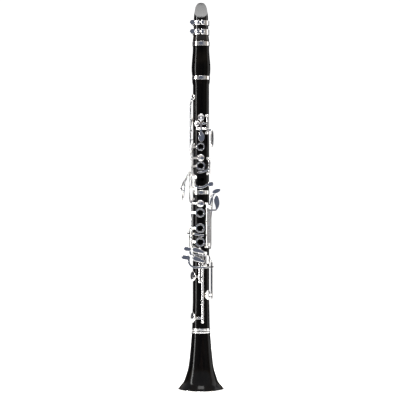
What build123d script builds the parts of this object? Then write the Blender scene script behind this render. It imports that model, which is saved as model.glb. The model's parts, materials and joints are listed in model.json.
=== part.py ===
from build123d import *
from math import cos, radians, sin, sqrt
import os

# A B-flat clarinet standing on its bell. +Z runs up the bore, the finger holes face -Y,
# and the origin is the centre of the bell's lower rim.

# Driving dimensions, in millimetres and degrees
BORE_R = 7.35              # cylindrical bore
UPPER_R = 13.9             # outside of the upper joint
LOWER_R = 14.1             # outside of the lower joint
BELL_TOP = 106.9           # top of the bell, foot of the lower joint
MIDDLE = 343.3             # where the two joints meet
UPPER_TOP = 533.1          # top of the upper joint, foot of the barrel
BARREL_TOP = 598.0         # top of the barrel, shoulder of the mouthpiece
TIP = 667.0                # tip of the mouthpiece
BEAK_FOOT = 637.7          # lower end of the beak's slope
RIM_R = 39.6               # bell rim

TENON_R = 10.8             # wooden tenons, under the cork
SOCKET_R = 11.5            # sockets in the barrel and the lower joint
BELL_TENON_R = 12.2
BELL_SOCKET_R = 13.0
TENON_LENGTH = 15.5
LOWER_FOOT_R = 15.3        # foot of the lower joint, where it swells to meet the bell
MIDDLE_RING_FOOT = 336.9   # lower edge of the ring round the middle socket
BELL_RING_FOOT = 98.9      # lower edge of the bell's two socket rings
BELL_RING_GAP = (101.4, 103.1)    # wood that shows between them
FIT_GAP = 0.05             # radial gap of a running fit

ROD_R = 1.0                # steel hinge rods
TUBE_R = 1.9               # key tubes that turn on the rods
PIN_R = 0.6                # short cross pins of the long levers
BALL_R = 2.3               # ball heads of the posts
STEM_R = 1.3               # stems of the posts
STEM_DEPTH = 2.6           # how far a stem goes into the wood
END_GAP = 0.15             # end play between a tube and its post
ARM = 1.7                  # thickness of the key arms

PAD_GAP = 0.06             # between a closed pad and its seat
PAD_THICK = 2.2
CUP_WALL = 1.7             # height of a cup's side
CHIMNEY_R = 4.3            # raised rims that the finger rings close around
CHIMNEY_TOP = 1.2          # their height above the wood
RING_THICK = 1.5
LEVER_R = 18.6             # radius at which the long side levers run
PIVOT_R = 16.2             # radius of their cross pins
LEVER_WIDTH = 3.6

# Hinge rods, by their (x, y) in plan
STACK_ROD = (-16.2, -10.0)        # left-hand rings, and below it the right-hand rings
G_SHARP_ROD = (10.9, -14.6)
UPPER_SLIVER_ROD = (14.2, -12.4)
C_SHARP_ROD = (-11.2, -14.6)
THUMB_ROD = (12.2, 14.8)
LOWER_SLIVER_ROD = (-20.0, -2.5)
LEFT_F_SHARP_ROD = (10.4, -16.0)
LEFT_E_ROD = (13.9, -13.2)
F_SHARP_ROD = (-2.4, -18.8)
E_ROD = (2.7, -18.8)
A_FLAT_ROD = (8.2, -17.2)
F_ROD = (18.6, 2.5)

# How far the keys that stand open are turned back from their closed place, in degrees
RING_OPEN = 4.6
THUMB_OPEN = 4.6
RIGHT_RING_OPEN = 4.6
E_OPEN = 6.0
F_OPEN = 4.5
F_SHARP_OPEN = 6.5

os.makedirs("parts", exist_ok=True)


# ---------- places around the body ----------

def around(angle, radius):
    """Plan position at an angle from the front, counted towards +X."""
    return (radius * sin(radians(angle)), -radius * cos(radians(angle)))


def radial_plane(angle):
    """Upright plane through the bore: local x is the radius, local y the height."""
    x, y = around(angle, 1)
    return Plane(origin=(0, 0, 0), x_dir=(x, y, 0), z_dir=(y, -x, 0))


def facing_plane(angle, height, radius, offset=0.0):
    """Plane that faces outwards: local x is the height, local y runs round the body."""
    x, y = around(angle, radius)
    tangent = (cos(radians(angle)) * offset, sin(radians(angle)) * offset)
    return Plane(
        origin=(x + tangent[0], y + tangent[1], height), x_dir=(0, 0, 1),
        z_dir=around(angle, 1) + (0,),
    )


def seat_level(body_radius, cup_radius):
    """Radius of the flat pad seat cut into a round body."""
    return sqrt(body_radius**2 - (cup_radius + 0.4) ** 2)


# ---------- shapes that every key uses ----------

def disc(plane, radius, low, high, mode=Mode.ADD):
    """Round slab on a plane, between two heights above it."""
    with BuildSketch(plane.offset(low)) as outline:
        Circle(radius)
    extrude(outline.sketch, amount=high - low, mode=mode)


def tube(rod, low, high):
    disc(Plane(origin=(*rod, 0)), TUBE_R, low, high)


def rod_hole(rod, low, high):
    disc(Plane(origin=(*rod, 0)), ROD_R + FIT_GAP, low - 1, high + 1, Mode.SUBTRACT)


def plan_arm(height, points, width=3.0, thick=ARM):
    """Flat arm drawn in plan, at one height."""
    with BuildSketch(Plane.XY.offset(height - width / 2)) as outline:
        with BuildLine():
            Polyline(*points)
        trace(line_width=thick)
    extrude(outline.sketch, amount=width)


def front_arm(points, depth, width=3.0, thick=ARM):
    """Flat arm drawn as seen from the front, (x, z), with its inner face at y = -depth."""
    with BuildSketch(Plane.XZ.offset(depth)) as outline:
        with BuildLine():
            if len(points) > 2:
                Spline(*points)
            else:
                Line(*points)
        trace(line_width=width)
    extrude(outline.sketch, amount=thick)


def front_touch(x_range, z_range, depth, thick=1.8, corner=2.2):
    """Rounded finger plate seen from the front, with its inner face at y = -depth."""
    width = x_range[1] - x_range[0]
    height = z_range[1] - z_range[0]
    centre = ((x_range[0] + x_range[1]) / 2, (z_range[0] + z_range[1]) / 2)
    with BuildPart() as plate:
        with BuildSketch(Plane.XZ.offset(depth)):
            with Locations(centre):
                RectangleRounded(width, height, min(corner, width * 0.45, height * 0.45))
        extrude(amount=thick)
        fillet(plate.faces().sort_by(Axis.Y)[0].edges(), 0.6)
    add(plate.part)


def leaf_touch(wide, narrow, depth, thick=1.8):
    """Long finger plate between two round ends, each (x, z, radius), with its inner face at y = -depth."""
    with BuildPart() as plate:
        with BuildSketch(Plane.XZ.offset(depth)):
            for x, z, radius in (wide, narrow):
                with Locations((x, z)):
                    Circle(radius)
            make_hull()
        extrude(amount=thick)
        fillet(plate.faces().sort_by(Axis.Y)[0].edges(), 0.6)
    add(plate.part)


def cup(angle, height, radius, body_radius):
    """Domed cup over a tone hole, with a low button in its middle."""
    seat = seat_level(body_radius, radius)
    plane = facing_plane(angle, height, seat + PAD_GAP + 1.0)
    with BuildSketch(radial_plane(0)) as profile:
        with BuildLine():
            Polyline(
                (0, 0), (radius, 0), (radius, CUP_WALL - 0.35), (radius - 0.4, CUP_WALL),
                (radius * 0.62, CUP_WALL + 0.5), (radius * 0.3, CUP_WALL + 0.75), (0, CUP_WALL + 0.75),
                (0, 0),
            )
        make_face()
    dome = revolve(profile.sketch, Axis.Z, mode=Mode.PRIVATE)
    add(plane.location * dome)


def cup_recess(angle, height, radius, body_radius):
    """Hollow of the cup, which holds the pad."""
    seat = seat_level(body_radius, radius)
    disc(facing_plane(angle, height, seat), radius - 0.45, -0.5, PAD_GAP + PAD_THICK, Mode.SUBTRACT)


def make_pad(angle, height, radius, body_radius):
    """Pad with a bevelled face, a little smaller than the cup's hollow."""
    seat = seat_level(body_radius, radius)
    plane = facing_plane(angle, height, seat + PAD_GAP)
    with BuildPart() as pad:
        disc(plane, radius - 0.5, 0, PAD_THICK)
        face = pad.faces().sort_by(lambda f: f.center().dot(plane.z_dir))[0]
        chamfer(face.edges(), 0.35)
    return pad.part


def cup_centre(angle, radius, body_radius):
    """Plan point on the cup's crown, where its arm lands."""
    return around(angle, seat_level(body_radius, radius) + PAD_GAP + 2.9)


def ring(x, height, body_radius, outer, inner, mode=Mode.ADD):
    """Finger ring in its closed place around a chimney."""
    plane = Plane(origin=(x, 0, height), z_dir=(0, -1, 0))
    level = body_radius + 0.15
    if mode == Mode.ADD:
        disc(plane, outer, level, level + RING_THICK)
    else:
        disc(plane, inner, level - 3, level + RING_THICK + 4, Mode.SUBTRACT)


def side_lever(angle, points, pivot_height, width=LEVER_WIDTH, thick=1.6):
    """Long lever drawn in its own upright plane, (radius, height), with two lugs for a cross pin."""
    plane = radial_plane(angle)
    with BuildSketch(plane) as lugs:
        with Locations((PIVOT_R, pivot_height)):
            Circle(1.5)
        with Locations((PIVOT_R + 1.2, pivot_height)):
            Rectangle(2.6, 3.0)
    extrude(lugs.sketch, amount=width / 2, both=True)
    with BuildSketch(plane) as slot:
        with Locations((PIVOT_R - 0.2, pivot_height)):
            Rectangle(3.8, 6)
    extrude(slot.sketch, amount=0.9, both=True, mode=Mode.SUBTRACT)
    with BuildSketch(plane) as pin_hole:
        with Locations((PIVOT_R, pivot_height)):
            Circle(PIN_R + FIT_GAP)
    extrude(pin_hole.sketch, amount=width, both=True, mode=Mode.SUBTRACT)
    with BuildSketch(plane) as strip:
        with BuildLine():
            FilletPolyline(*points, radius=3.0)
        trace(line_width=thick)
    extrude(strip.sketch, amount=width / 2, both=True)


def oval_touch(angle, height, radius, length, width, offset=0.0, thick=1.8):
    """Oval finger plate that faces outwards."""
    with BuildSketch(facing_plane(angle, height, radius, offset)) as outline:
        Ellipse(length / 2, width / 2)
    extrude(outline.sketch, amount=thick)


def opened(part, rod, degrees):
    """The key turned about its rod, from its closed place to where it stands at rest."""
    return part.rotate(Axis((*rod, 0), (0, 0, 1)), degrees)


def write(part, name):
    part.label = name
    export_step(part, f"parts/{name}.step")


# ---------- tone holes ----------
# Covered holes: angle, height and cup radius
A_CUP = (0, 468.1, 5.6)
G_SHARP_CUP = (-28, 457.3, 4.8)
TRILL_CUPS = [(-66, 503.3, 5.2), (-106, 464.1, 5.2), (-119, 412.0, 5.2), (-136, 388.0, 5.2)]
REGISTER_CUP = (180, 492.0, 4.6)
VENT_CUP = (0, 399.1, 5.8)
SLIVER_CUP = (86, 390.0, 4.8)
C_SHARP_CUP = (-88, 357.0, 4.8)
RIGHT_RING_CUP = (-2, 320.8, 6.0)
LOWER_SLIVER_CUP = (-118, 262.0, 5.4)
A_FLAT_CUP = (60, 225.0, 7.4)
F_SHARP_CUP = (-66, 196.3, 8.2)
F_CUP = (57, 164.3, 8.2)
E_CUP = (-74, 125.5, 8.6)
UPPER_CUPS = [A_CUP, G_SHARP_CUP, *TRILL_CUPS, REGISTER_CUP, VENT_CUP, SLIVER_CUP, C_SHARP_CUP]
LOWER_CUPS = [RIGHT_RING_CUP, LOWER_SLIVER_CUP, A_FLAT_CUP, F_SHARP_CUP, F_CUP, E_CUP]

FIRST_RING = (0.0, 417.7)          # x and height of the finger holes
SECOND_RING = (0.0, 385.1)
THIRD_HOLE = (1.7, 361.9)
RIGHT_RINGS = [(-0.9, 305.1), (-0.9, 278.8), (-0.9, 255.1)]
THUMB_HOLE_Z = 412.0

SMALL_RING = (6.7, 5.1)            # outer and inner radius of the finger rings
MIDDLE_RING = (7.5, 5.4)
LARGE_RING = (7.9, 5.6)


def covered_hole(angle, height, cup_radius, body_radius):
    """Flat seat with a raised lip round a hole into the bore."""
    seat = seat_level(body_radius, cup_radius)
    plane = facing_plane(angle, height, 0)
    hole = cup_radius * 0.55
    disc(plane, cup_radius + 0.7, seat - 0.8, body_radius + 3, Mode.SUBTRACT)
    disc(plane, hole + 1.1, seat - 1.2, seat)
    disc(plane, hole, BORE_R - 2, seat + 1, Mode.SUBTRACT)


def finger_hole(x, height, body_radius, hole, rim):
    """Open hole, with a raised rim where a ring closes round it."""
    plane = Plane(origin=(x, 0, height), z_dir=(0, -1, 0))
    if rim:
        disc(plane, CHIMNEY_R, body_radius - 1.5, body_radius + CHIMNEY_TOP)
    disc(plane, hole, 2, body_radius + 3, Mode.SUBTRACT)


# ---------- posts ----------
# Each rod is held by ball posts at these heights
UPPER_POSTS = [
    (STACK_ROD, [422.0, 369.5, 348.2]),
    (G_SHARP_ROD, [471.0, 441.5]),
    (UPPER_SLIVER_ROD, [397.8, 372.0]),
    (C_SHARP_ROD, [366.0, 345.8]),
    (THUMB_ROD, [423.0, 401.0]),
]
LOWER_POSTS = [
    (STACK_ROD, [328.5, 247.0]),
    (LOWER_SLIVER_ROD, [277.0, 246.5]),
    (LEFT_F_SHARP_ROD, [320.5, 247.2]),
    (LEFT_E_ROD, [313.5, 250.8]),
    (F_SHARP_ROD, [243.5, 187.5]),
    (E_ROD, [233.5, 118.5]),
    (A_FLAT_ROD, [236.5, 215.5]),
    (F_ROD, [222.0, 156.5]),
]
# Long levers turn on cross pins: angle and height of each pin
UPPER_PIVOTS = [(-76, 446.0), (-92, 430.0), (-108, 382.0), (-124, 369.0), (180, 452.0)]
LOWER_PIVOTS = [(62, 280.0)]
A_HINGE_Z = 448.6                  # the throat A key turns on a rod that lies across the front
A_HINGE_Y = -17.2
A_HINGE_X = (-6.6, 7.2)


def off_axis(point):
    """Distance of a plan point from the bore's axis."""
    return sqrt(point[0] ** 2 + point[1] ** 2)


def radial_stem_plane(point, height):
    return Plane(origin=(0, 0, height), z_dir=(point[0], point[1], 0))


def ball_post(point, height, body_radius, turned=(0, 0, 0)):
    """Post with a round head at a rod, and its stem down into the wood."""
    distance = off_axis(point)
    plane = radial_stem_plane(point, height)
    disc(plane, STEM_R, body_radius - STEM_DEPTH, distance)
    disc(plane, STEM_R + 0.8, body_radius - 0.1, body_radius + 0.7)
    with Locations((*point, height)):
        Sphere(BALL_R, rotation=turned)


def stem_hole(point, height, body_radius):
    plane = radial_stem_plane(point, height)
    disc(plane, STEM_R + 0.02, body_radius - STEM_DEPTH - 0.05, body_radius + 3, Mode.SUBTRACT)
    disc(plane, STEM_R + 0.85, body_radius - 0.15, body_radius + 3, Mode.SUBTRACT)


def saddle_post(angle, height, body_radius):
    """Narrow post whose flat head carries a cross pin."""
    plane = facing_plane(angle, height, 0)
    disc(plane, STEM_R, body_radius - STEM_DEPTH, PIVOT_R - 1.8)
    disc(plane, STEM_R + 0.8, body_radius - 0.1, body_radius + 0.3)
    with BuildSketch(radial_plane(angle)) as head:
        with Locations((PIVOT_R, height)):
            Circle(1.4)
        with Locations(((PIVOT_R + body_radius) / 2, height)):
            Rectangle(PIVOT_R - body_radius, 2.6)
    extrude(head.sketch, amount=0.8, both=True)


def cross_pin(angle, height, radius, half_length, mode=Mode.ADD):
    with BuildSketch(radial_plane(angle)) as section:
        with Locations((PIVOT_R, height)):
            Circle(radius)
    extrude(section.sketch, amount=half_length, both=True, mode=mode)


def stem_point(angle):
    return around(angle, 20)


# ================= wooden body =================

with BuildPart() as upper_joint:
    with BuildSketch(Plane.XZ) as profile:
        with BuildLine():
            Polyline(
                (0, MIDDLE - TENON_LENGTH + 1.0), (TENON_R, MIDDLE - TENON_LENGTH + 1.0), (TENON_R, MIDDLE),
                (UPPER_R + 0.1, MIDDLE), (UPPER_R, MIDDLE + 3), (UPPER_R, UPPER_TOP - 9),
                (UPPER_R + 1.2, UPPER_TOP - 4), (UPPER_R + 1.2, UPPER_TOP), (TENON_R, UPPER_TOP),
                (TENON_R, UPPER_TOP + TENON_LENGTH), (0, UPPER_TOP + TENON_LENGTH), close=True,
            )
        make_face()
    revolve(axis=Axis.Z)
    for covered in UPPER_CUPS:
        covered_hole(*covered, UPPER_R)
    finger_hole(*FIRST_RING, UPPER_R, 3.4, True)
    finger_hole(*SECOND_RING, UPPER_R, 3.4, True)
    finger_hole(*THIRD_HOLE, UPPER_R, 3.4, False)
    disc(facing_plane(180, THUMB_HOLE_Z, 0), CHIMNEY_R, 4, UPPER_R + 3, Mode.SUBTRACT)
    disc(facing_plane(180, REGISTER_CUP[1], 0), 2.7, 4, UPPER_R + 3, Mode.SUBTRACT)
    for rod, heights in UPPER_POSTS:
        for height in heights:
            stem_hole(rod, height, UPPER_R)
    for angle, height in UPPER_PIVOTS:
        stem_hole(stem_point(angle), height, UPPER_R)
    for x in A_HINGE_X:
        stem_hole((x, A_HINGE_Y), A_HINGE_Z, UPPER_R)
    disc(Plane.XY, BORE_R, MIDDLE - 30, UPPER_TOP + 30, Mode.SUBTRACT)
write(upper_joint.part, "upper_joint")

with BuildPart() as lower_joint:
    with BuildSketch(Plane.XZ) as profile:
        with BuildLine():
            Polyline(
                (0, MIDDLE - 0.05), (13.2, MIDDLE - 0.05), (13.2, MIDDLE_RING_FOOT),
                (LOWER_R, MIDDLE_RING_FOOT),
                (LOWER_R, 152), (LOWER_R + 0.5, 137), (LOWER_FOOT_R - 0.2, 113), (LOWER_FOOT_R, BELL_TOP),
                (BELL_TENON_R, BELL_TOP), (BELL_TENON_R, BELL_TOP - TENON_LENGTH),
                (0, BELL_TOP - TENON_LENGTH),
                close=True,
            )
        make_face()
    revolve(axis=Axis.Z)
    for covered in LOWER_CUPS:
        covered_hole(*covered, LOWER_R)
    for x, height in RIGHT_RINGS:
        finger_hole(x, height, LOWER_R, 3.6, True)
    for rod, heights in LOWER_POSTS:
        for height in heights:
            stem_hole(rod, height, LOWER_R)
    for angle, height in LOWER_PIVOTS:
        stem_hole(stem_point(angle), height, LOWER_R)
    disc(Plane.XY, BORE_R, 60, MIDDLE + 5, Mode.SUBTRACT)
    disc(Plane.XY, SOCKET_R, MIDDLE - TENON_LENGTH + 0.8, MIDDLE + 5, Mode.SUBTRACT)
    with BuildSketch(Plane.XZ) as flare:
        with BuildLine():
            Polyline(
                (0, 80), (11.2, 80), (10.6, BELL_TOP - TENON_LENGTH), (BORE_R, 200), (0, 200),
                close=True,
            )
        make_face()
    revolve(axis=Axis.Z, mode=Mode.SUBTRACT)
write(lower_joint.part, "lower_joint")

with BuildPart() as lower_joint_ring:
    disc(Plane.XY, LOWER_R + 0.35, MIDDLE_RING_FOOT, MIDDLE - 0.05)
    disc(Plane.XY, 13.2, MIDDLE - 9, MIDDLE + 1, Mode.SUBTRACT)
    chamfer(lower_joint_ring.edges().group_by(Axis.Z)[-1].sort_by(SortBy.RADIUS)[-1], 0.6)
write(lower_joint_ring.part, "lower_joint_ring")

with BuildPart() as barrel:
    with BuildSketch(Plane.XZ) as profile:
        with BuildLine():
            Polyline(
                (14.9, UPPER_TOP + 6), (13.6, UPPER_TOP + 6), (13.6, UPPER_TOP), (0, UPPER_TOP),
                (0, BARREL_TOP),
            )
            Polyline((0, BARREL_TOP), (13.2, BARREL_TOP), (13.2, BARREL_TOP - 6.7), (14.2, BARREL_TOP - 6.7))
            Spline(
                (14.2, BARREL_TOP - 6.7), (14.8, BARREL_TOP - 24), (16.2, UPPER_TOP + 19),
                (14.9, UPPER_TOP + 6),
            )
        make_face()
    revolve(axis=Axis.Z)
    disc(Plane.XY, SOCKET_R, UPPER_TOP - 1, UPPER_TOP + TENON_LENGTH + 0.3, Mode.SUBTRACT)
    disc(Plane.XY, SOCKET_R, BARREL_TOP - TENON_LENGTH - 0.3, BARREL_TOP + 1, Mode.SUBTRACT)
    disc(Plane.XY, BORE_R, UPPER_TOP - 1, BARREL_TOP + 1, Mode.SUBTRACT)
write(barrel.part, "barrel")

with BuildPart() as barrel_rings:
    disc(Plane.XY, 15.5, UPPER_TOP + 0.1, UPPER_TOP + 6)
    disc(Plane.XY, 14.8, BARREL_TOP - 6.7, BARREL_TOP)
    disc(Plane.XY, 13.6, UPPER_TOP - 1, UPPER_TOP + 7, Mode.SUBTRACT)
    disc(Plane.XY, 13.2, BARREL_TOP - 8, BARREL_TOP + 1, Mode.SUBTRACT)
write(barrel_rings.part, "barrel_rings")

with BuildPart() as bell:
    with BuildSketch(Plane.XZ) as profile:
        with BuildLine():
            Polyline((38.5, 3.4), (38.5, 0.3), (36.6, 0.3))
            Spline((36.6, 0.3), (33.0, 7), (27.6, 13.5), (22.6, 25), (18.4, 42), (15.2, 62), (11.6, 86))
            Polyline((11.6, 86), (11.6, 90.8), (BELL_SOCKET_R, 90.8), (BELL_SOCKET_R, BELL_TOP - 0.05))
            Polyline((BELL_SOCKET_R, BELL_TOP - 0.05), (14.6, BELL_TOP - 0.05), (14.6, BELL_RING_FOOT))
            Line((14.6, BELL_RING_FOOT), (15.8, BELL_RING_FOOT))
            Spline(
                (15.8, BELL_RING_FOOT), (16.95, 86), (18.5, 69), (20.4, 52), (23.4, 34), (27.2, 22),
                (31.0, 13),
                (35.6, 7.6), (38.5, 3.4),
            )
        make_face()
    revolve(axis=Axis.Z)
write(bell.part, "bell")

with BuildPart() as bell_socket_ring:
    disc(Plane.XY, 15.6, BELL_RING_FOOT, BELL_RING_GAP[0])
    disc(Plane.XY, 15.6, BELL_RING_GAP[1], BELL_TOP - 0.05)
    disc(Plane.XY, 14.6, 96, BELL_TOP + 1, Mode.SUBTRACT)
    fillet(bell_socket_ring.edges().group_by(Axis.Z)[0].sort_by(SortBy.RADIUS)[-1], 0.5)
write(bell_socket_ring.part, "bell_socket_ring")

with BuildPart() as bell_rim_ring:
    disc(Plane.XY, RIM_R, 0, 3.4)
    disc(Plane.XY, 38.5, -1, 5, Mode.SUBTRACT)
    fillet(bell_rim_ring.edges().group_by(Axis.Z)[-1].sort_by(SortBy.RADIUS)[-1], 0.6)
write(bell_rim_ring.part, "bell_rim_ring")


def cork(low, high, inner, outer):
    with BuildSketch(Plane.XY.offset(low)) as section:
        Circle(outer)
        Circle(inner, mode=Mode.SUBTRACT)
    extrude(section.sketch, amount=high - low)


with BuildPart() as tenon_corks:
    cork(UPPER_TOP + 1.5, UPPER_TOP + TENON_LENGTH - 1.5, TENON_R, SOCKET_R - FIT_GAP)
    cork(MIDDLE - TENON_LENGTH + 2.2, MIDDLE - 1.5, TENON_R, SOCKET_R - FIT_GAP)
    cork(BELL_TOP - TENON_LENGTH + 1.5, BELL_TOP - 1.5, BELL_TENON_R, BELL_SOCKET_R - FIT_GAP)
write(tenon_corks.part, "tenon_corks")

# ================= mouthpiece =================

MOUTHPIECE_R = 12.35
TABLE_Y = 9.2                      # flat back of the mouthpiece, where the reed lies
WINDOW = (630.0, 664.0)            # height of the opening under the reed

with BuildPart() as mouthpiece:
    with BuildSketch(Plane.XZ) as profile:
        with BuildLine():
            Polyline(
                (0, BARREL_TOP - TENON_LENGTH), (TENON_R, BARREL_TOP - TENON_LENGTH),
                (TENON_R, BARREL_TOP + 0.05),
                (14.3, BARREL_TOP + 0.05), (14.1, BARREL_TOP + 3), (13.1, BARREL_TOP + 12),
                (MOUTHPIECE_R, BEAK_FOOT - 6), (MOUTHPIECE_R, TIP), (0, TIP), close=True,
            )
        make_face()
    revolve(axis=Axis.Z)
    with BuildSketch(Plane.XZ.offset(-20)) as silhouette:
        with BuildLine():
            Polyline((-5.0, TIP - 1), (-5.0, TIP - 1.01))
            Spline(
                (-5.0, TIP - 1.01), (-8.6, TIP - 6), (-10.6, TIP - 14), (-12.0, TIP - 24),
                (-12.5, BEAK_FOOT - 8),
            )
            Polyline(
                (-12.5, BEAK_FOOT - 8), (-20, BEAK_FOOT - 10), (-20, 570), (20, 570),
                (20, BEAK_FOOT - 10),
            )
            Line((20, BEAK_FOOT - 10), (12.5, BEAK_FOOT - 8))
            Spline(
                (12.5, BEAK_FOOT - 8), (12.0, TIP - 24), (10.6, TIP - 14), (8.6, TIP - 6),
                (5.0, TIP - 1.01),
            )
            ThreePointArc((5.0, TIP - 1.01), (0, TIP), (-5.0, TIP - 1))
        make_face()
    extrude(amount=40, mode=Mode.INTERSECT)
    with BuildSketch(Plane.YZ) as back:
        Polygon((TABLE_Y, BARREL_TOP + 7), (20, BARREL_TOP + 7), (20, TIP + 5), (TABLE_Y - 0.7, TIP + 5),
                (TABLE_Y, TIP - 22), align=None)
    extrude(amount=20, both=True, mode=Mode.SUBTRACT)
    with BuildSketch(Plane.YZ) as beak:
        with BuildLine():
            ThreePointArc((-13.2, BEAK_FOOT), (-1.2, BEAK_FOOT + 14.6), (TABLE_Y - 2.3, TIP))
            Polyline(
                (TABLE_Y - 2.3, TIP), (TABLE_Y - 2.3, TIP + 5), (-20, TIP + 5), (-20, BEAK_FOOT),
                (-13.2, BEAK_FOOT),
            )
        make_face()
    extrude(amount=20, both=True, mode=Mode.SUBTRACT)
    disc(Plane.XY, BORE_R, BARREL_TOP - 20, WINDOW[0] + 4, Mode.SUBTRACT)
    with BuildSketch(Plane.YZ) as chamber:
        Polygon(
            (-4.2, WINDOW[0] - 2), (20, WINDOW[0]), (20, WINDOW[1]), (TABLE_Y - 1.4, WINDOW[1]),
            align=None,
        )
    extrude(amount=4.6, both=True, mode=Mode.SUBTRACT)
write(mouthpiece.part, "mouthpiece")

with BuildPart() as mouthpiece_cork:
    cork(BARREL_TOP - TENON_LENGTH + 1.5, BARREL_TOP - 1.5, TENON_R, SOCKET_R - FIT_GAP)
write(mouthpiece_cork.part, "mouthpiece_cork")

with BuildPart() as reed:
    with BuildSketch(Plane.YZ) as side:
        Polygon(
            (TABLE_Y + 0.02, BARREL_TOP + 9), (TABLE_Y + 2.6, BARREL_TOP + 9), (TABLE_Y + 2.8, TIP - 36),
            (TABLE_Y + 1.3, TIP - 16), (TABLE_Y + 0.35, TIP - 0.6), (TABLE_Y + 0.02, TIP - 0.6), align=None,
        )
    extrude(amount=8, both=True)
    with BuildSketch(Plane.XZ.offset(-30)) as outline:
        with BuildLine():
            Polyline((-5.6, BARREL_TOP), (-6.4, TIP - 4), (-5.2, TIP - 1.6))
            ThreePointArc((-5.2, TIP - 1.6), (0, TIP - 0.7), (5.2, TIP - 1.6))
            Polyline((5.2, TIP - 1.6), (6.4, TIP - 4), (5.6, BARREL_TOP), (-5.6, BARREL_TOP))
        make_face()
    extrude(amount=30, mode=Mode.INTERSECT)
    with BuildSketch(Plane.XY.offset(BARREL_TOP)) as bark:
        Circle(12.2)
    extrude(amount=80, mode=Mode.INTERSECT)
write(reed.part, "reed")

BANDS = [(626.5, 634.0), (610.0, 619.0)]      # the ligature's two bands
BAND_R = 13.6
SCREW_Y = -16.4
SCREW_HEIGHTS = [630.2, 614.5]

with BuildPart() as ligature:
    for low, high in BANDS:
        disc(Plane.XY, BAND_R + 0.7, low, high)
    for x in (-4.7, 2.9):
        with BuildSketch(Plane.XY.offset(BANDS[1][0])) as lug:
            with Locations((x, SCREW_Y + 1.0)):
                RectangleRounded(5.2, 5.6, 1.2)
        for low, high in BANDS:
            extrude(Plane.XY.offset(low - BANDS[1][0] + 0.6).location * lug.sketch, amount=high - low - 1.2)
    with BuildSketch(Plane.XY.offset(BANDS[1][1] - 1)) as strap:
        for angle in (-150, 150):
            with Locations(around(angle, BAND_R + 0.3)):
                Rectangle(2.2, 0.9, rotation=angle)
    extrude(strap.sketch, amount=BANDS[0][0] - BANDS[1][1] + 2)
    disc(Plane.XY, BAND_R, BANDS[1][0] - 1, BANDS[0][1] + 1, Mode.SUBTRACT)
    with BuildSketch(Plane.XY.offset(600)) as slit:
        with Locations((-0.9, -16)):
            Rectangle(1.5, 8)
    extrude(slit.sketch, amount=50, mode=Mode.SUBTRACT)
    for height in SCREW_HEIGHTS:
        with BuildSketch(Plane.YZ) as thread:
            with Locations((SCREW_Y, height)):
                Circle(1.05)
        extrude(thread.sketch, amount=30, both=True, mode=Mode.SUBTRACT)
write(ligature.part, "ligature")


def ligature_screw(height):
    """Cross screw with a round collar and a flat thumb paddle on its end."""
    with BuildPart() as screw:
        with BuildSketch(Plane.YZ.offset(-9.0)) as shank:
            with Locations((SCREW_Y, height)):
                Circle(1.0)
        extrude(shank.sketch, amount=15.0)
        with BuildSketch(Plane.YZ.offset(-10.6)) as collar:
            with Locations((SCREW_Y, height)):
                Circle(2.1)
        extrude(collar.sketch, amount=2.4)
        with BuildSketch(Plane.XZ.offset(-SCREW_Y)) as paddle:
            with Locations((-14.4, height)):
                Ellipse(4.6, 4.4)
        extrude(paddle.sketch, amount=0.7, both=True)
    return screw.part


for screw_name, screw_height in zip(("ligature_screw_upper", "ligature_screw_lower"), SCREW_HEIGHTS):
    write(ligature_screw(screw_height), screw_name)

# ================= tubes, thumb rest, posts and rods =================

with BuildPart() as register_tube:
    plane = facing_plane(180, REGISTER_CUP[1], 0)
    seat = seat_level(UPPER_R, REGISTER_CUP[2])
    disc(plane, 2.68, 5.5, seat)
    disc(plane, 1.5, 4, seat + 1, Mode.SUBTRACT)
write(register_tube.part, "register_tube")

with BuildPart() as thumb_tube:
    plane = facing_plane(180, THUMB_HOLE_Z, 0)
    disc(plane, CHIMNEY_R - 0.02, 6.5, UPPER_R + CHIMNEY_TOP)
    disc(plane, 3.2, 4, UPPER_R + 3, Mode.SUBTRACT)
write(thumb_tube.part, "thumb_tube")

THUMB_REST_Z = 268.0

with BuildPart() as thumb_rest:
    with BuildSketch(Plane.XZ.offset(-(LOWER_R - 2.5))) as plate:
        with Locations((0, THUMB_REST_Z)):
            RectangleRounded(11, 30, 4)
    extrude(plate.sketch, amount=-3.6)
    with BuildSketch(Plane.YZ) as hook:
        with BuildLine():
            Polyline(
                (LOWER_R + 0.4, THUMB_REST_Z - 4), (LOWER_R + 9, THUMB_REST_Z - 2),
                (LOWER_R + 14, THUMB_REST_Z + 3),
            )
        trace(line_width=1.8)
    extrude(hook.sketch, amount=6.5, both=True)
    disc(Plane.XY, LOWER_R + 0.03, THUMB_REST_Z - 40, THUMB_REST_Z + 40, Mode.SUBTRACT)
    for height in (THUMB_REST_Z - 11, THUMB_REST_Z + 11):
        disc(facing_plane(180, height, 0), 1.2, 5, 20, Mode.SUBTRACT)
write(thumb_rest.part, "thumb_rest")

with BuildPart() as thumb_rest_screws:
    for height in (THUMB_REST_Z - 11, THUMB_REST_Z + 11):
        disc(facing_plane(180, height, 0), 2.0, LOWER_R + 1.1, LOWER_R + 2.0)
        disc(facing_plane(180, height, 0), 1.15, LOWER_R + 0.05, LOWER_R + 1.3)
write(thumb_rest_screws.part, "thumb_rest_screws")

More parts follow.
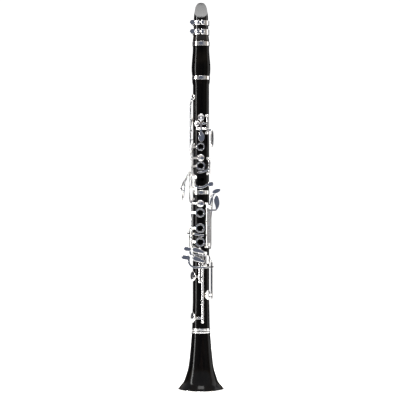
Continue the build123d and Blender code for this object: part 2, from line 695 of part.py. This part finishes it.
with BuildPart() as upper_posts:
    for rod, heights in UPPER_POSTS:
        for height in heights:
            ball_post(rod, height, UPPER_R)
    for angle, height in UPPER_PIVOTS:
        saddle_post(angle, height, UPPER_R)
    for x in A_HINGE_X:
        ball_post((x, A_HINGE_Y), A_HINGE_Z, UPPER_R, (0, 90, 0))
    for rod, heights in UPPER_POSTS:
        disc(Plane(origin=(*rod, 0)), ROD_R + 0.02, min(heights) - 9, max(heights) + 9, Mode.SUBTRACT)
    for angle, height in UPPER_PIVOTS:
        cross_pin(angle, height, PIN_R + 0.02, 3, Mode.SUBTRACT)
    with BuildSketch(Plane.YZ.offset(-20)) as bore:
        with Locations((A_HINGE_Y, A_HINGE_Z)):
            Circle(ROD_R + 0.02)
    extrude(bore.sketch, amount=40, mode=Mode.SUBTRACT)
write(upper_posts.part, "upper_posts")

with BuildPart() as lower_posts:
    for rod, heights in LOWER_POSTS:
        for height in heights:
            ball_post(rod, height, LOWER_R)
    for angle, height in LOWER_PIVOTS:
        saddle_post(angle, height, LOWER_R)
    for rod, heights in LOWER_POSTS:
        disc(Plane(origin=(*rod, 0)), ROD_R + 0.02, min(heights) - 9, max(heights) + 9, Mode.SUBTRACT)
    for angle, height in LOWER_PIVOTS:
        cross_pin(angle, height, PIN_R + 0.02, 3, Mode.SUBTRACT)
write(lower_posts.part, "lower_posts")

with BuildPart() as hinge_rods:
    for rod, heights in UPPER_POSTS + LOWER_POSTS:
        disc(Plane(origin=(*rod, 0)), ROD_R, min(heights) - 1.9, max(heights) + 1.9)
    for angle, height in UPPER_PIVOTS + LOWER_PIVOTS:
        cross_pin(angle, height, PIN_R, LEVER_WIDTH / 2)
    with BuildSketch(Plane.YZ.offset(A_HINGE_X[0] - 1.9)) as section:
        with Locations((A_HINGE_Y, A_HINGE_Z)):
            Circle(ROD_R)
    extrude(section.sketch, amount=A_HINGE_X[1] - A_HINGE_X[0] + 3.8)
write(hinge_rods.part, "hinge_rods")


def between(heights):
    """Heights of a tube that fills the space between two posts."""
    return min(heights) + BALL_R + END_GAP, max(heights) - BALL_R - END_GAP


# ================= upper joint keys =================

with BuildPart() as register_key:
    side_lever(180, [(16.2, 492), (17.0, 485), (18.6, 479), (18.6, 440), (17.8, 428)], UPPER_PIVOTS[4][1])
    oval_touch(180, 431, 17.2, 13, 7.5)
    cup(*REGISTER_CUP, UPPER_R)
    cup_recess(*REGISTER_CUP, UPPER_R)
write(register_key.part, "register_key")
write(make_pad(*REGISTER_CUP, UPPER_R), "register_pad")

with BuildPart() as throat_a_key:
    with BuildSketch(Plane.YZ.offset(A_HINGE_X[0] + BALL_R + END_GAP)) as section:
        with Locations((A_HINGE_Y, A_HINGE_Z)):
            Circle(TUBE_R)
    extrude(section.sketch, amount=A_HINGE_X[1] - A_HINGE_X[0] - 2 * BALL_R - 2 * END_GAP)
    with BuildSketch(radial_plane(0)) as strip:
        with BuildLine():
            Polyline((16.2, A_CUP[1]), (17.4, 461), (18.4, 449), (18.2, 440), (17.4, 428))
        trace(line_width=1.6)
    extrude(strip.sketch, amount=1.8, both=True)
    with BuildSketch(Plane.XZ.offset(16.8)) as outline:
        with BuildLine():
            Spline((0.5, 445), (4.6, 439), (5.4, 431), (0.5, 426.6), (-4.4, 431), (-3.6, 439), (0.5, 445))
        make_face()
    extrude(outline.sketch, amount=1.8)
    cup(*A_CUP, UPPER_R)
    cup_recess(*A_CUP, UPPER_R)
    with BuildSketch(Plane.YZ.offset(-10)) as bore:
        with Locations((A_HINGE_Y, A_HINGE_Z)):
            Circle(ROD_R + FIT_GAP)
    extrude(bore.sketch, amount=20, mode=Mode.SUBTRACT)
write(throat_a_key.part, "throat_a_key")
write(make_pad(*A_CUP, UPPER_R), "throat_a_pad")

with BuildPart() as throat_g_sharp_key:
    low, high = between(UPPER_POSTS[1][1])
    tube(G_SHARP_ROD, low, high)
    centre = cup_centre(G_SHARP_CUP[0], G_SHARP_CUP[2], UPPER_R)
    plan_arm(G_SHARP_CUP[1], [G_SHARP_ROD, around(14, 15.4), around(-8, 15.2), centre], 2.6, 1.3)
    plan_arm(446.5, [G_SHARP_ROD, (16.5, -14.0), (19.5, -9.5)], 3.4)
    oval_touch(62, 432.5, 20.6, 30, 8.0)
    cup(*G_SHARP_CUP, UPPER_R)
    cup_recess(*G_SHARP_CUP, UPPER_R)
    rod_hole(G_SHARP_ROD, low, high)
write(throat_g_sharp_key.part, "throat_g_sharp_key")
write(make_pad(*G_SHARP_CUP, UPPER_R), "throat_g_sharp_pad")

# Four side keys: long levers that fan out, two touches above two
TRILL_BENDS = [376.0, 376.0, 379.0, 366.0]     # where each lever leaves the body
TRILL_TOUCHES = [(31.0, 331.0), (31.0, 334.0), (35.0, 347.0), (35.0, 350.0)]    # radius, height
for number in range(4):
    hole = TRILL_CUPS[number]
    angle, pivot_height = UPPER_PIVOTS[number]
    bend = TRILL_BENDS[number]
    reach, touch = TRILL_TOUCHES[number]
    with BuildPart() as trill_key:
        route = [
            (16.4, hole[1]), (17.0, hole[1] - 7), (LEVER_R, hole[1] - 13), (LEVER_R, bend),
            (LEVER_R + 3.2, bend - 5.5), (reach - 3, 357.5), (reach, touch + 2), (reach + 0.2, touch - 4),
        ]
        side_lever(angle, route, pivot_height)
        oval_touch(angle, touch, reach, 11, 7.0)
        cup(*hole, UPPER_R)
        cup_recess(*hole, UPPER_R)
    write(trill_key.part, f"trill_key_{number + 1}")
    write(make_pad(*hole, UPPER_R), f"trill_pad_{number + 1}")

with BuildPart() as first_ring_key:
    low, high = 392.6, between(UPPER_POSTS[0][1])[1]
    tube(STACK_ROD, low, high)
    plan_arm(FIRST_RING[1], [STACK_ROD, (-5.6, -14.9)], 2.6)
    plan_arm(VENT_CUP[1] - 0.5, [STACK_ROD, (-4.5, -15.6), cup_centre(0, VENT_CUP[2], UPPER_R)], 3.0)
    ring(*FIRST_RING, UPPER_R, *SMALL_RING)
    cup(*VENT_CUP, UPPER_R)
    cup_recess(*VENT_CUP, UPPER_R)
    ring(*FIRST_RING, UPPER_R, *SMALL_RING, Mode.SUBTRACT)
    rod_hole(STACK_ROD, low, high)
write(opened(first_ring_key.part, STACK_ROD, -RING_OPEN), "first_ring_key")
write(opened(make_pad(*VENT_CUP, UPPER_R), STACK_ROD, -RING_OPEN), "first_ring_pad")

with BuildPart() as second_ring_key:
    low, high = UPPER_POSTS[0][1][1] + BALL_R + END_GAP, 392.4
    tube(STACK_ROD, low, high)
    plan_arm(SECOND_RING[1] - 0.5, [STACK_ROD, (-6.2, -14.9)], 2.8)
    ring(*SECOND_RING, UPPER_R, *MIDDLE_RING)
    ring(*SECOND_RING, UPPER_R, *MIDDLE_RING, Mode.SUBTRACT)
    with BuildSketch(Plane.XY.offset(343.8)) as bridge:
        with Locations((-19.6, -12.4)):
            Circle(1.4)
    extrude(bridge.sketch, amount=30)
    plan_arm(373.4, [STACK_ROD, (-19.6, -12.4)], 2.4)
    rod_hole(STACK_ROD, low, high)
write(opened(second_ring_key.part, STACK_ROD, -RING_OPEN), "second_ring_key")

with BuildPart() as thumb_ring_key:
    low, high = between(UPPER_POSTS[4][1])
    tube(THUMB_ROD, low, high)
    plan_arm(THUMB_HOLE_Z, [THUMB_ROD, (5.2, 15.2)], 3.0)
    plane = facing_plane(180, THUMB_HOLE_Z, 0)
    disc(plane, SMALL_RING[0], UPPER_R + 0.15, UPPER_R + 0.15 + RING_THICK)
    disc(plane, SMALL_RING[1], UPPER_R - 3, UPPER_R + 5, Mode.SUBTRACT)
    rod_hole(THUMB_ROD, low, high)
write(opened(thumb_ring_key.part, THUMB_ROD, -THUMB_OPEN), "thumb_ring_key")

with BuildPart() as upper_sliver_key:
    low, high = between(UPPER_POSTS[2][1])
    tube(UPPER_SLIVER_ROD, low, high)
    centre = cup_centre(SLIVER_CUP[0], SLIVER_CUP[2], UPPER_R)
    plan_arm(SLIVER_CUP[1], [UPPER_SLIVER_ROD, around(64, 17.6), centre], 2.6)
    front_arm([(14.2, 379.5), (7.5, 376.4), (-4.2, 373.6)], 16.9, 2.8, 1.6)
    plan_arm(380.0, [UPPER_SLIVER_ROD, (12.6, -17.6)], 3.0)
    cup(*SLIVER_CUP, UPPER_R)
    cup_recess(*SLIVER_CUP, UPPER_R)
    rod_hole(UPPER_SLIVER_ROD, low, high)
write(upper_sliver_key.part, "upper_sliver_key")
write(make_pad(*SLIVER_CUP, UPPER_R), "upper_sliver_pad")

with BuildPart() as c_sharp_key:
    low, high = between(UPPER_POSTS[3][1])
    tube(C_SHARP_ROD, low, high)
    centre = cup_centre(C_SHARP_CUP[0], C_SHARP_CUP[2], UPPER_R)
    plan_arm(C_SHARP_CUP[1], [C_SHARP_ROD, around(-52, 15.0), around(-72, 15.0), centre], 2.6, 1.2)
    plan_arm(351.2, [C_SHARP_ROD, (-9.0, -18.6)], 3.0)
    front_arm([(-10.2, 351.2), (-5.5, 348.6), (1, 348.2), (8, 351), (16.4, 355)], 17.9, 3.4, 1.7)
    front_touch((12.0, 21.0), (349.8, 358.2), 17.9, corner=3.0)
    cup(*C_SHARP_CUP, UPPER_R)
    cup_recess(*C_SHARP_CUP, UPPER_R)
    rod_hole(C_SHARP_ROD, low, high)
write(c_sharp_key.part, "c_sharp_key")
write(make_pad(*C_SHARP_CUP, UPPER_R), "c_sharp_pad")

# ================= lower joint keys =================

with BuildPart() as right_ring_key:
    low, high = between(LOWER_POSTS[0][1])
    tube(STACK_ROD, low, high)
    for x, height in RIGHT_RINGS:
        plan_arm(height, [STACK_ROD, (x - 6.6, -15.1)], 2.8)
        ring(x, height, LOWER_R, *LARGE_RING)
    plan_arm(RIGHT_RING_CUP[1], [STACK_ROD, (-5.5, -16.0), cup_centre(*RIGHT_RING_CUP[::2], LOWER_R)], 3.0)
    cup(*RIGHT_RING_CUP, LOWER_R)
    cup_recess(*RIGHT_RING_CUP, LOWER_R)
    for x, height in RIGHT_RINGS:
        ring(x, height, LOWER_R, *LARGE_RING, Mode.SUBTRACT)
    with BuildSketch(Plane.XY.offset(322)) as bridge:
        with Locations((-19.6, -12.4)):
            Circle(1.4)
    extrude(bridge.sketch, amount=21.2)
    plan_arm(323.4, [STACK_ROD, (-19.6, -12.4)], 2.4)
    rod_hole(STACK_ROD, low, high)
write(opened(right_ring_key.part, STACK_ROD, -RIGHT_RING_OPEN), "right_ring_key")
write(opened(make_pad(*RIGHT_RING_CUP, LOWER_R), STACK_ROD, -RIGHT_RING_OPEN), "right_ring_pad")

with BuildPart() as lower_sliver_key:
    low, high = between(LOWER_POSTS[1][1])
    tube(LOWER_SLIVER_ROD, low, high)
    plan_arm(269.8, [LOWER_SLIVER_ROD, (-22.4, -10.5), (-17.4, -16.4), (-11.0, -19.0)], 2.8)
    front_arm([(-12.5, 270.0), (-4, 267.4), (5.0, 266.2)], 18.1, 3.2, 1.6)
    centre = cup_centre(LOWER_SLIVER_CUP[0], LOWER_SLIVER_CUP[2], LOWER_R)
    plan_arm(LOWER_SLIVER_CUP[1], [LOWER_SLIVER_ROD, (-18.6, 3.5), centre], 2.8)
    cup(*LOWER_SLIVER_CUP, LOWER_R)
    cup_recess(*LOWER_SLIVER_CUP, LOWER_R)
    rod_hole(LOWER_SLIVER_ROD, low, high)
write(lower_sliver_key.part, "lower_sliver_key")
write(make_pad(*LOWER_SLIVER_CUP, LOWER_R), "lower_sliver_pad")

with BuildPart() as left_f_sharp_lever:
    low, high = between(LOWER_POSTS[2][1])
    tube(LEFT_F_SHARP_ROD, low, high)
    plan_arm(high - 1.6, [LEFT_F_SHARP_ROD, (14.5, -19.0)], 3.2)
    front_arm([(14.0, high - 1.6), (17.0, 326), (21.5, 336), (28, 342.6)], 18.2, 3.0, 1.7)
    with BuildSketch(Plane.XZ.offset(18.2)) as plate:
        with Locations((26.2, 342.0)):
            Ellipse(7.2, 3.6, rotation=22)
    extrude(plate.sketch, amount=1.9)
    rod_hole(LEFT_F_SHARP_ROD, low, high)
write(left_f_sharp_lever.part, "left_f_sharp_lever")

with BuildPart() as left_e_lever:
    low, high = between(LOWER_POSTS[3][1])
    tube(LEFT_E_ROD, low, high)
    plan_arm(high - 1.6, [LEFT_E_ROD, (19.0, -13.8), (25.6, -12.0)], 3.2)
    with BuildSketch(Plane.XZ.offset(10.9)) as plate:
        with BuildLine():
            Spline(
                (24.0, 306.5), (24.4, 317), (22.8, 330), (26.6, 334.6), (31.2, 326), (30.6, 316),
                (24.0, 306.5),
            )
        make_face()
    extrude(plate.sketch, amount=1.9)
    rod_hole(LEFT_E_ROD, low, high)
write(left_e_lever.part, "left_e_lever")

with BuildPart() as left_f_lever:
    side_lever(
        62, [(17.6, 243), (LEVER_R, 252), (LEVER_R, 296), (20.6, 312), (21.2, 326), (18.8, 334)],
        LOWER_PIVOTS[0][1], 3.2,
    )
    oval_touch(62, 328, 20.0, 17, 6.0)
write(left_f_lever.part, "left_f_lever")

with BuildPart() as f_sharp_key:
    low, high = between(LOWER_POSTS[4][1])
    tube(F_SHARP_ROD, low, high)
    plan_arm(238.6, [F_SHARP_ROD, (-5.5, -25.2)], 3.2, 2.0)
    leaf_touch((-10.8, 242.2, 4.4), (2.4, 238.2, 2.4), 24.0)
    centre = cup_centre(F_SHARP_CUP[0], F_SHARP_CUP[2], LOWER_R)
    plan_arm(F_SHARP_CUP[1], [F_SHARP_ROD, around(-30, 17.6), around(-48, 16.2), centre], 3.4)
    cup(*F_SHARP_CUP, LOWER_R)
    cup_recess(*F_SHARP_CUP, LOWER_R)
    rod_hole(F_SHARP_ROD, low, high)
write(opened(f_sharp_key.part, F_SHARP_ROD, F_SHARP_OPEN), "f_sharp_key")
write(opened(make_pad(*F_SHARP_CUP, LOWER_R), F_SHARP_ROD, F_SHARP_OPEN), "f_sharp_pad")

with BuildPart() as e_key:
    low, high = between(LOWER_POSTS[5][1])
    tube(E_ROD, low, high)
    plan_arm(224.4, [E_ROD, (1.5, -25.2)], 3.2, 2.0)
    leaf_touch((-10.9, 227.8, 4.5), (3.2, 222.6, 2.6), 24.0)
    centre = cup_centre(E_CUP[0], E_CUP[2], LOWER_R)
    plan_arm(E_CUP[1], [E_ROD, around(-16, 17.8), around(-40, 16.8), around(-58, 16.0), centre], 3.6)
    cup(*E_CUP, LOWER_R)
    cup_recess(*E_CUP, LOWER_R)
    rod_hole(E_ROD, low, high)
write(opened(e_key.part, E_ROD, E_OPEN), "e_key")
write(opened(make_pad(*E_CUP, LOWER_R), E_ROD, E_OPEN), "e_pad")

with BuildPart() as a_flat_key:
    low, high = between(LOWER_POSTS[6][1])
    tube(A_FLAT_ROD, low, high)
    centre = cup_centre(A_FLAT_CUP[0], A_FLAT_CUP[2], LOWER_R)
    plan_arm(A_FLAT_CUP[1] - 1.5, [A_FLAT_ROD, around(42, 17.6), centre], 3.2)
    plan_arm(232.6, [A_FLAT_ROD, (7.6, -23.4)], 2.4, 2.0)
    front_arm([(8.2, 232.8), (0.0, 233.4), (-18.0, 234.0)], 22.0, 2.0, 1.6)
    front_arm([(-17.6, 234.0), (-19.4, 242)], 22.0, 3.0, 1.6)
    leaf_touch((-25.4, 243.9, 4.0), (-20.2, 243.3, 3.8), 22.0)
    cup(*A_FLAT_CUP, LOWER_R)
    cup_recess(*A_FLAT_CUP, LOWER_R)
    rod_hole(A_FLAT_ROD, low, high)
write(a_flat_key.part, "a_flat_key")
write(make_pad(*A_FLAT_CUP, LOWER_R), "a_flat_pad")

with BuildPart() as f_key:
    low, high = between(LOWER_POSTS[7][1])
    tube(F_ROD, low, high)
    centre = cup_centre(F_CUP[0], F_CUP[2], LOWER_R)
    plan_arm(F_CUP[1], [F_ROD, around(80, 17.2), centre], 3.4)
    plan_arm(212.4, [F_ROD, (19.8, -8.0), (13.0, -20.6), (5.0, -23.0), (-14.0, -23.0)], 3.0)
    front_arm([(-13.6, 212.4), (-21.0, 217), (-22.5, 227)], 22.15, 3.2, 1.7)
    leaf_touch((-31.2, 229.6, 4.0), (-24.6, 228.7, 4.1), 22.0)
    cup(*F_CUP, LOWER_R)
    cup_recess(*F_CUP, LOWER_R)
    rod_hole(F_ROD, low, high)
write(opened(f_key.part, F_ROD, F_OPEN), "f_key")
write(opened(make_pad(*F_CUP, LOWER_R), F_ROD, F_OPEN), "f_pad")
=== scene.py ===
import json
import math

import bpy
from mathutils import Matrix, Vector


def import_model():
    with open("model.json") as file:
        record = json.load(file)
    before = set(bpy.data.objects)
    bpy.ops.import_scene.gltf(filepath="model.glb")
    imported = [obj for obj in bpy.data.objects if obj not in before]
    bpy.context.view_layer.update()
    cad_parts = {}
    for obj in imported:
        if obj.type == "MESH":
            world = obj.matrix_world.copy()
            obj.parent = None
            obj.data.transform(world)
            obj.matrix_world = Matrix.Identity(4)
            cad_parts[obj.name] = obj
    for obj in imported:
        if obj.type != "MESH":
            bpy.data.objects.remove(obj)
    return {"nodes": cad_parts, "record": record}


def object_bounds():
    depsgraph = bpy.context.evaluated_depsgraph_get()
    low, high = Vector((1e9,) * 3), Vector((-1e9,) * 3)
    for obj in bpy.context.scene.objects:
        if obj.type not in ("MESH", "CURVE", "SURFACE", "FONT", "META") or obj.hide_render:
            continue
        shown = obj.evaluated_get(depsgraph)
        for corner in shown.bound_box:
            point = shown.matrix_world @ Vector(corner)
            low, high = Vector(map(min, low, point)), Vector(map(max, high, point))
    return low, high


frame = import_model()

NODES = frame["nodes"]
cad_low, cad_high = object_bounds()
HEIGHT = cad_high.z
MM = 0.001

EDGE_RADIUS = 0.5 * MM
EDGE_SAMPLES = 8

# The table top is smaller than the room, so that upright walls of the instrument stay dark.
FLOOR_RADIUS = 0.9
FLOOR_SIDES = 96
FLOOR_GLOW = 0.75

WHITE = (1, 1, 1)
WARM = (1.0, 0.86, 0.62)
BACKDROP_STRENGTH = 1.1  # a little over white, so that it renders as plain white

# Grey room that the instrument reflects, from the camera's side (0) to behind the instrument (1).
WALLS = [
    (0.0, (0.10, 0.115, 0.16)),
    (0.05, (0.13, 0.14, 0.17)),
    (0.12, (0.30, 0.30, 0.31)),
    (0.3, (0.34, 0.33, 0.32)),
    (0.42, (0.16, 0.10, 0.045)),
    (0.55, (0.03, 0.03, 0.045)),
    (0.8, (0.06, 0.06, 0.07)),
    (1.0, (0.12, 0.12, 0.12)),
]
# Light added to the walls, from level (0) to straight up (1).
CEILING = [
    (0.22, (0, 0, 0)),
    (0.27, (0.36, 0.23, 0.09)),
    (0.36, (0.60, 0.61, 0.64)),
]

CAMERA_DISTANCE = 2.15
CAMERA_SIDE = -1.7 * MM
CAMERA_LEVEL = 0.49  # share of the instrument's height
VISIBLE_HEIGHT = 1.031 * HEIGHT


# ---------- materials ----------

def colour_ramp(tree, source, stops):
    """Colours between stops, each a place from 0 to 1 and its colour."""
    made = tree.nodes.new("ShaderNodeValToRGB")
    while len(made.color_ramp.elements) < len(stops):
        made.color_ramp.elements.new(0.5)
    for element, (at, colour) in zip(made.color_ramp.elements, stops):
        element.position = at
        element.color = (*colour, 1)
    tree.links.new(source, made.inputs["Fac"])
    return made.outputs["Color"]


class Shader:
    """A principled material and short helpers for the nodes that feed it."""

    def __init__(self, name, colour, roughness, metallic=0.0, **sockets):
        self.material = bpy.data.materials.new(name)
        self.material.use_nodes = True
        self.tree = self.material.node_tree
        self.principled = self.tree.nodes["Principled BSDF"]
        self.principled.inputs["Base Color"].default_value = (*colour, 1)
        self.principled.inputs["Roughness"].default_value = roughness
        self.principled.inputs["Metallic"].default_value = metallic
        for socket, value in sockets.items():
            self.principled.inputs[socket.replace("_", " ")].default_value = value

    def node(self, kind, **values):
        """New node; each value sets the input of that name, or else the node's own property."""
        made = self.tree.nodes.new(kind)
        for name, value in values.items():
            if name in made.inputs:
                made.inputs[name].default_value = value
            else:
                setattr(made, name, value)
        return made

    def link(self, source, target):
        self.tree.links.new(source, target)

    def noise(self, scale, upright=1.0, detail=6.0):
        """Noise over the object; an upright under 1 draws it out along the bore."""
        place = self.node("ShaderNodeTexCoord")
        mapping = self.node("ShaderNodeMapping", Scale=(1, 1, upright))
        self.link(place.outputs["Object"], mapping.inputs["Vector"])
        made = self.node("ShaderNodeTexNoise", Scale=scale, Detail=detail)
        self.link(mapping.outputs["Vector"], made.inputs["Vector"])
        return made.outputs["Fac"]

    def vary_colour(self, source, stops):
        ramp = colour_ramp(self.tree, source, stops)
        self.link(ramp, self.principled.inputs["Base Color"])

    def vary_roughness(self, source, low, high):
        spread = self.node("ShaderNodeMapRange")
        spread.inputs["To Min"].default_value = low
        spread.inputs["To Max"].default_value = high
        self.link(source, spread.inputs["Value"])
        self.link(spread.outputs["Result"], self.principled.inputs["Roughness"])

    def soft_edges(self):
        """Normals that round the edges over, as buffing does."""
        bevel = self.node("ShaderNodeBevel", samples=EDGE_SAMPLES, Radius=EDGE_RADIUS)
        return bevel.outputs["Normal"]

    def bump(self, source, strength, distance, below=None):
        """Relief on top of another bump's normals, or else on the softened edges."""
        made = self.node("ShaderNodeBump", Strength=strength, Distance=distance)
        self.link(source, made.inputs["Height"])
        self.link(below or self.soft_edges(), made.inputs["Normal"])
        self.link(made.outputs["Normal"], self.principled.inputs["Normal"])
        return made.outputs["Normal"]


def blackwood():
    """Oiled and polished African blackwood: almost black, with fine upright pores."""
    s = Shader("blackwood", (0.006, 0.005, 0.005), 0.15, Specular_IOR_Level=0.12)
    grain = s.noise(900, upright=0.035, detail=8)
    bands = s.noise(160, upright=0.05, detail=4)
    s.vary_colour(bands, [
        (0.35, (0.0010, 0.0009, 0.0010)),
        (0.62, (0.0020, 0.0016, 0.0015)),
        (0.8, (0.006, 0.004, 0.003)),
    ])
    s.vary_roughness(grain, 0.08, 0.18)
    s.bump(grain, strength=0.05, distance=0.06 * MM)
    return s.material


def ebonite():
    """Polished hard rubber with faint rubbing marks."""
    s = Shader("ebonite", (0.008, 0.008, 0.009), 0.2, Specular_IOR_Level=0.35)
    s.vary_colour(s.noise(220), [(0.3, (0.002, 0.002, 0.002)), (0.75, (0.005, 0.004, 0.004))])
    s.vary_roughness(s.noise(1400, upright=0.3), 0.10, 0.18)
    s.bump(s.noise(2600), strength=0.06, distance=0.04 * MM)
    return s.material


def silver():
    """Bright silver plate, gently uneven from buffing, with a little warm tarnish."""
    s = Shader("silver_plate", (0.93, 0.91, 0.88), 0.12, metallic=1.0)
    s.vary_colour(s.noise(130, detail=3), [
        (0.3, (0.97, 0.96, 0.94)),
        (0.6, (0.93, 0.92, 0.90)),
        (0.85, (0.84, 0.79, 0.71)),
    ])
    s.vary_roughness(s.noise(700), 0.05, 0.16)
    wave = s.bump(s.noise(110, detail=1), strength=0.3, distance=0.3 * MM)
    s.bump(s.noise(2200), strength=0.05, distance=0.04 * MM, below=wave)
    return s.material


def steel():
    """Drawn steel of the hinge rods, duller than the plate and scratched along its length."""
    s = Shader("rod_steel", (0.55, 0.56, 0.6), 0.22, metallic=1.0)
    s.vary_colour(s.noise(300), [(0.3, (0.50, 0.51, 0.56)), (0.8, (0.66, 0.66, 0.68))])
    s.vary_roughness(s.noise(1500, upright=0.1), 0.16, 0.32)
    s.bump(s.noise(2500, upright=0.1), strength=0.05, distance=0.03 * MM)
    return s.material


def cork():
    """Dry tenon cork with dark cells."""
    s = Shader("cork", (0.5, 0.33, 0.18), 0.85)
    cells = s.noise(1200, detail=10)
    s.vary_colour(cells, [
        (0.35, (0.20, 0.11, 0.05)),
        (0.5, (0.48, 0.31, 0.17)),
        (0.75, (0.62, 0.44, 0.26)),
    ])
    s.vary_roughness(cells, 0.7, 0.95)
    s.bump(cells, strength=0.5, distance=0.2 * MM)
    return s.material


def cane():
    """Cut reed cane with long upright fibres."""
    s = Shader("cane", (0.78, 0.62, 0.34), 0.5)
    fibre = s.noise(900, upright=0.02, detail=6)
    s.vary_colour(fibre, [
        (0.3, (0.58, 0.41, 0.18)),
        (0.55, (0.78, 0.61, 0.32)),
        (0.8, (0.86, 0.72, 0.45)),
    ])
    s.vary_roughness(fibre, 0.4, 0.62)
    s.bump(fibre, strength=0.25, distance=0.08 * MM)
    return s.material


def pad_skin():
    """Pale fish-skin cover of the pads."""
    s = Shader("pad_skin", (0.8, 0.72, 0.6), 0.6)
    skin = s.noise(900, detail=5)
    s.vary_colour(skin, [(0.3, (0.70, 0.60, 0.46)), (0.75, (0.86, 0.80, 0.70))])
    s.vary_roughness(skin, 0.5, 0.75)
    s.bump(skin, strength=0.3, distance=0.1 * MM)
    return s.material


FINISHES = {
    "blackwood": blackwood(),
    "ebonite": ebonite(),
    "silver_plate": silver(),
    "steel": steel(),
    "cork": cork(),
    "cane": cane(),
    "pad_skin": pad_skin(),
}
SLOT_OF = {part["node"]: part["material_slot"] for part in frame["record"]["subparts"]}

for node_name, node in NODES.items():
    node.data.materials.clear()
    node.data.materials.append(FINISHES[SLOT_OF[node_name]])


# ---------- stage, light and camera ----------

def floor():
    """Round pale table top under the bell."""
    bpy.ops.mesh.primitive_circle_add(
        vertices=FLOOR_SIDES, radius=FLOOR_RADIUS, fill_type="NGON", location=(0, 0, 0))
    top = bpy.context.object
    top.name = "studio_floor"
    s = Shader("pale_floor", (0.9, 0.9, 0.9), 0.75,
               Emission_Color=(*WHITE, 1), Emission_Strength=FLOOR_GLOW)
    top.data.materials.append(s.material)


def softbox(name, angle, distance, height, size, radiance, colour=WHITE):
    """Rectangular light at an angle from the front, counted towards +X, that faces mid-height."""
    lamp = bpy.data.lights.new(name, "AREA")
    lamp.shape = "RECTANGLE"
    lamp.size, lamp.size_y = size
    lamp.energy = radiance * math.pi * size[0] * size[1]
    lamp.color = colour
    holder = bpy.data.objects.new(name, lamp)
    bpy.context.scene.collection.objects.link(holder)
    side = math.radians(angle)
    holder.location = (distance * math.sin(side), -distance * math.cos(side), height)
    aim = Vector((0, 0, HEIGHT / 2)) - holder.location
    holder.rotation_mode = "QUATERNION"
    holder.rotation_quaternion = aim.to_track_quat("-Z", "Y")


def lights():
    """Narrow bright strip on the left, soft banks on the right and overhead, a warm one behind."""
    middle = HEIGHT / 2
    softbox("left_strip", angle=-74, distance=1.5, height=middle, size=(0.20, 2.2), radiance=24.0)
    softbox("right_bank", angle=104, distance=1.5, height=middle, size=(0.9, 2.2), radiance=1.5)
    softbox("top_bank", angle=0, distance=0.35, height=2.1, size=(0.8, 0.9), radiance=9.0)
    softbox("rear_bank", angle=180, distance=1.4, height=2.2, size=(1.6, 0.8), radiance=2.5,
            colour=WARM)


def add_colours(tree, first, second):
    """Sum of two colours. A Mix node's colour sockets are its inputs 6 and 7 and its output 2."""
    made = tree.nodes.new("ShaderNodeMix")
    made.data_type = "RGBA"
    made.blend_type = "ADD"
    made.inputs["Factor"].default_value = 1
    tree.links.new(first, made.inputs[6])
    tree.links.new(second, made.inputs[7])
    return made.outputs[2]


def world():
    """White to the camera; the instrument reflects the walls and the ceiling."""
    sky = bpy.data.worlds.new("studio")
    sky.use_nodes = True
    tree = sky.node_tree
    tree.nodes.clear()
    path = tree.nodes.new("ShaderNodeLightPath")
    seen = tree.nodes.new("ShaderNodeBackground")
    seen.inputs["Color"].default_value = (*WHITE, 1)
    seen.inputs["Strength"].default_value = BACKDROP_STRENGTH
    place = tree.nodes.new("ShaderNodeTexCoord")
    split = tree.nodes.new("ShaderNodeSeparateXYZ")
    tree.links.new(place.outputs["Generated"], split.inputs["Vector"])
    depth = tree.nodes.new("ShaderNodeMapRange")
    depth.inputs["From Min"].default_value = -1
    tree.links.new(split.outputs["Y"], depth.inputs["Value"])
    walls = colour_ramp(tree, depth.outputs["Result"], WALLS)
    ceiling = colour_ramp(tree, split.outputs["Z"], CEILING)
    room = tree.nodes.new("ShaderNodeBackground")
    tree.links.new(add_colours(tree, walls, ceiling), room.inputs["Color"])
    mix = tree.nodes.new("ShaderNodeMixShader")
    out = tree.nodes.new("ShaderNodeOutputWorld")
    tree.links.new(path.outputs["Is Camera Ray"], mix.inputs["Fac"])
    tree.links.new(room.outputs["Background"], mix.inputs[1])
    tree.links.new(seen.outputs["Background"], mix.inputs[2])
    tree.links.new(mix.outputs["Shader"], out.inputs["Surface"])
    bpy.context.scene.world = sky


def camera():
    """Level, about halfway up the instrument and straight in front of the finger holes."""
    lens = bpy.data.cameras.new("camera")
    lens.angle = 2 * math.atan(VISIBLE_HEIGHT / 2 / CAMERA_DISTANCE)
    view = bpy.data.objects.new("camera", lens)
    view.location = (CAMERA_SIDE, -CAMERA_DISTANCE, HEIGHT * CAMERA_LEVEL)
    view.rotation_euler = (math.radians(90), 0, 0)
    bpy.context.scene.collection.objects.link(view)
    bpy.context.scene.camera = view


floor()
lights()
world()
camera()
bpy.context.scene.view_settings.view_transform = "Standard"
